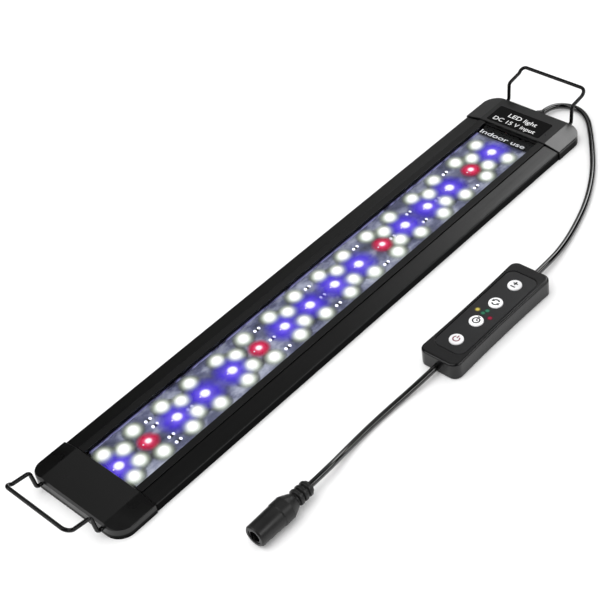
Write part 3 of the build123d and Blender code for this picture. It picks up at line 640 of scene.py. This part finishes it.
class Symbol:
    """Flat strokes in a symbol's own frame: across and up from the middle of a button, in millimetres."""

    def __init__(self, middle):
        self.middle = middle
        self.bm = bmesh.new()

    def at(self, across, up):
        size = SYMBOL_SIZE * MM
        return self.bm.verts.new((self.middle.x + up * size, self.middle.y - across * size, self.middle.z))

    def shape(self, points):
        self.bm.faces.new([self.at(*point) for point in points])

    def bar(self, start, end, width):
        run = Vector(end) - Vector(start)
        side = Vector((-run.y, run.x)).normalized() * width / 2
        corners = [Vector(start) - side, Vector(end) - side, Vector(end) + side, Vector(start) + side]
        self.shape(corners)

    def arc(self, radius, width, start, end, steps=24):
        """A stroke along a circle, from one angle to another in degrees, anticlockwise from the right."""
        for step in range(steps):
            corners = []
            for angle, reach in ((step, -1), (step, 1), (step + 1, 1), (step + 1, -1)):
                turn = math.radians(start + (end - start) * angle / steps)
                away = radius + reach * width / 2
                corners.append((away * math.cos(turn), away * math.sin(turn)))
            self.shape(corners)

    def arrow_head(self, radius, angle, size):
        """A triangle on the circle, pointing anticlockwise."""
        turn = math.radians(angle)
        out, along = Vector((math.cos(turn), math.sin(turn))), Vector((-math.sin(turn), math.cos(turn)))
        self.shape([radius * out - size * out, radius * out + size * out, radius * out + 1.5 * size * along])


def power_symbol(symbol):
    symbol.arc(1.3, 0.55, 125, 415)
    symbol.bar((0, 0.35), (0, 1.9), 0.55)


def timer_symbol(symbol):
    symbol.arc(1.4, 0.6, 0, 360, 36)
    symbol.bar((0, -0.1), (0, 1.0), 0.45)
    symbol.bar((-0.1, 0), (0.85, 0), 0.45)
    symbol.bar((-0.6, 2.05), (0.6, 2.05), 0.5)


def mode_symbol(symbol):
    for start in (35, 215):
        symbol.arc(1.4, 0.65, start, start + 115)
        symbol.arrow_head(1.4, start + 115, 0.8)


def brightness_symbol(symbol):
    symbol.bar((-1.05, 0.65), (1.05, 0.65), 0.62)
    symbol.bar((0, -0.3), (0, 1.65), 0.62)
    symbol.bar((-1.1, -1.3), (1.1, -1.3), 0.62)


SYMBOLS = {"power": (power_symbol, INK_RED), "timer": (timer_symbol, INK_GREY),
           "mode": (mode_symbol, INK_GREY), "brightness": (brightness_symbol, INK_GREY)}
for button, (draw, ink) in SYMBOLS.items():
    button_low, button_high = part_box(f"button_{button}")
    on_top = (button_low + button_high) / 2
    on_top.z = button_high.z + SYMBOL_LIFT
    on_button = Symbol(on_top)
    draw(on_button)
    drawn = piece_from(f"symbol_{button}", on_button.bm, ink, f"button_{button}")

INDICATOR_LIGHTS = ((0.75, 0.62, 0.14), (0.05, 0.2, 0.12), (0.06, 0.24, 0.15), (0.4, 0.03, 0.07))
INDICATOR_RADIUS, INDICATOR_LIFT = 1.7 * MM, 0.03 * MM


def add_indicators():
    """The four small lights between the buttons, each in its own colour."""
    tops = sorted(solid_middles("light_pipes"), key=lambda middle: -middle.y)
    glows = []
    for number, colour in enumerate(INDICATOR_LIGHTS):
        dimmer, dimmest = (tuple(share * channel for channel in colour) for share in (0.6, 0.3))
        lit = [(0.0, colour, 1.0), (0.45, colour, 0.85), (0.7, dimmer, 0.35), (1.0, dimmest, 0.0)]
        glows.append(glow(f"indicator_glow_{number}", lit))
    shape = discs(tops, INDICATOR_RADIUS, 24, INDICATOR_LIFT)
    made = piece_from("indicator_lights", shape, glows[0])
    for number, material in enumerate(glows[1:], 1):
        made.data.materials.append(material)
        made.data.polygons[number].material_index = number


add_indicators()


# ---------------------------------------------------------------- stage and light
FLOOR_SIZE, FLOOR_GAP = 3.0, 0.00005


def add_floor():
    bm = bmesh.new()
    bmesh.ops.create_grid(bm, x_segments=4, y_segments=4, size=FLOOR_SIZE)
    mesh = bpy.data.meshes.new("floor")
    bm.to_mesh(mesh)
    bm.free()
    shader = Shader("floor_white")
    shader.set(Base_Color=(0.93, 0.93, 0.93, 1), Roughness=0.9, Specular_IOR_Level=0.1)
    mesh.materials.append(shader.material)
    made = bpy.data.objects.new("floor", mesh)
    made.location.z = cad_low.z - FLOOR_GAP
    bpy.context.scene.collection.objects.link(made)


def add_card(name, place, aim, size, brightness, fills=False):
    """A soft panel that faces a point, with an even brightness over its face. It only shows in gloss,
    unless it fills: then it also lights the surfaces."""
    data = bpy.data.lights.new(name, "AREA")
    data.shape = "RECTANGLE"
    data.size, data.size_y = size
    data.energy = brightness * math.pi * size[0] * size[1]
    made = bpy.data.objects.new(name, data)
    made.location = place
    made.rotation_euler = (Vector(aim) - Vector(place)).to_track_quat("-Z", "Y").to_euler()
    made.visible_camera = False
    made.visible_diffuse = fills
    bpy.context.scene.collection.objects.link(made)


def add_sky(strength):
    world = bpy.data.worlds.new("studio")
    world.use_nodes = True
    world.node_tree.nodes["Background"].inputs["Color"].default_value = (1, 1, 1, 1)
    world.node_tree.nodes["Background"].inputs["Strength"].default_value = strength
    world.cycles_visibility.glossy = False
    bpy.context.scene.world = world


add_floor()
add_sky(1.05)
add_card("overhead", (-0.5, 0.05, 1.2), (0, 0, 0), (0.9, 1.1), 2.0, fills=True)
add_card("far_slope", (0.62, 0.06, 0.5), (0.12, -0.03, 0), (0.24, 0.34), 6.5)
add_card("front_edge", (0.65, -1.0, 0.75), (0.65, 0, 0), (1.4, 0.18), 11.0)
add_card("left_edge", (-0.95, 0.55, 0.65), (0, -0.03, 0), (0.6, 0.3), 6.0)
add_card("back_slope", (1.1, 1.15, 0.6), (0.1, 0, 0), (0.4, 0.25), 1.2)
add_card("flat_tops", (0.72, 0.72, 1.0), (0, 0, 0), (1.15, 0.85), 0.6)
bpy.context.scene.view_settings.view_transform = "Standard"
